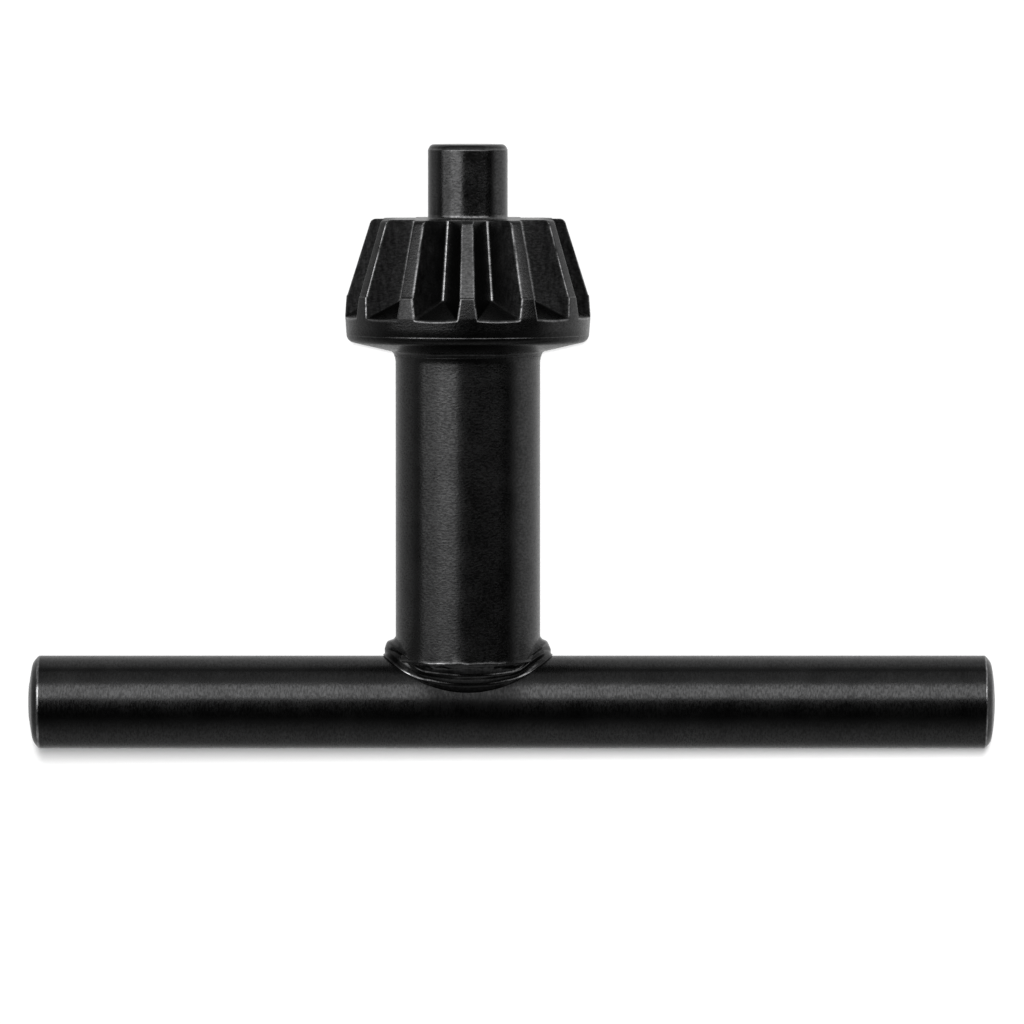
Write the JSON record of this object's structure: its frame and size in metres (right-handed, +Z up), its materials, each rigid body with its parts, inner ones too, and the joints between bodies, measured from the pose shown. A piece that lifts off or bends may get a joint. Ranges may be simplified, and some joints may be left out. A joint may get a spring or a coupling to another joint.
{
  "type": "drill chuck key",
  "caption": "Key for a geared drill chuck: bevel pinion with a round pilot on a steel shank, welded across a round tommy bar, lying at rest.",
  "frame": {"origin": "centre of the bounding box's underside, on the surface that the key lies on", "axes": "+X along the handle bar towards its long arm, +Y along the floor towards the pilot, +Z up; the key lies back on its rim and shank edge, so the shank's axis rises 8.6 degrees towards the pilot, and it is rolled 2.1 degrees about that axis until the long arm touches down"},
  "size_m": [0.073, 0.0456, 0.0185],
  "materials": {
    "black_oxide_shank": "forged and turned steel, black oxide, satin with fine grain and light edges",
    "black_oxide_weld": "upset weld metal, black oxide, darker in its crease",
    "black_oxide_bar": "drawn round steel bar, black oxide, satin with fine grain along the bar"
  },
  "bodies": {
    "root": {"pinion_shank": "black_oxide_shank", "weld_collar": "black_oxide_weld", "handle_bar": "black_oxide_bar"}
  },
  "joints": []
}
